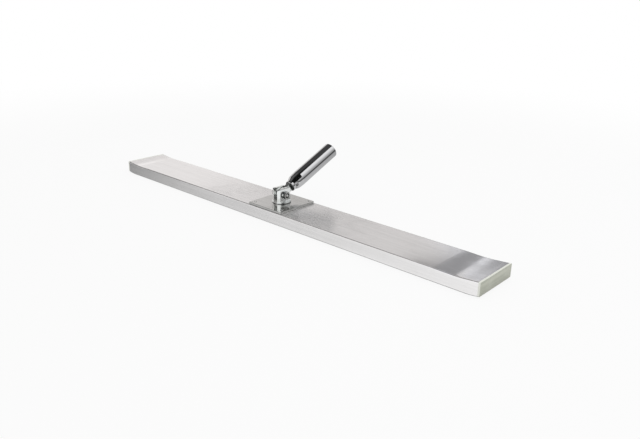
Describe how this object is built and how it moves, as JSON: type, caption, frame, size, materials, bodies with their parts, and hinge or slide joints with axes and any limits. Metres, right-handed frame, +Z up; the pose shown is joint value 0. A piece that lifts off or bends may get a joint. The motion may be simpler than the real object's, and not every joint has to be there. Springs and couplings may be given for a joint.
{
  "type": "concrete spreader",
  "caption": "Long hollow aluminium blade with turned-up ends and a swivelling, tilting handle socket on a plate at its middle, for spreading and smoothing fresh concrete.",
  "frame": {"origin": "centre of the sole, the flat underside that glides on the concrete, midway along and across the blade", "axes": "+X along the blade, +Z up, and the handle socket leans up towards +Y as it stands"},
  "size_m": [1.2, 0.2536, 0.1538],
  "materials": {
    "brushed_aluminium": "brushed along its length",
    "rivet_aluminium": "plain",
    "plate_steel": "fine brushed",
    "zinc_plate": "bright zinc",
    "joint_chrome": "polished, with fine turning marks",
    "socket_chrome": "mirror",
    "cap_plastic": "moulded",
    "dark_nylon": "moulded"
  },
  "bodies": {
    "blade": {"blade_profile": "brushed_aluminium", "end_cap_right": "cap_plastic", "end_cap_left": "cap_plastic", "mount_plate": "plate_steel", "plate_rivet_1": "rivet_aluminium", "plate_rivet_2": "rivet_aluminium", "plate_rivet_3": "rivet_aluminium", "plate_rivet_4": "rivet_aluminium"},
    "fork": {"joint_fork": "joint_chrome", "friction_disc": "dark_nylon", "swivel_washer": "zinc_plate", "swivel_nut": "zinc_plate", "tilt_bolt": "zinc_plate", "bolt_washer": "zinc_plate", "nut_washer": "zinc_plate", "lock_nut": "zinc_plate", "nylon_ring": "dark_nylon", "thrust_washer_right": "dark_nylon", "thrust_washer_left": "dark_nylon"},
    "handle_socket": {"hinge_eye": "joint_chrome", "socket_tube": "socket_chrome"}
  },
  "joints": [
    {"name": "swivel", "type": "hinge", "parent": "blade", "child": "fork", "pos_m": [0, 0, 0.036], "axis": [0, 0, 1], "continuous": true},
    {"name": "tilt", "type": "hinge", "parent": "fork", "child": "handle_socket", "pos_m": [0, 0, 0.056], "axis": [1, 0, 0], "range_deg": [-20, 153]}
  ]
}
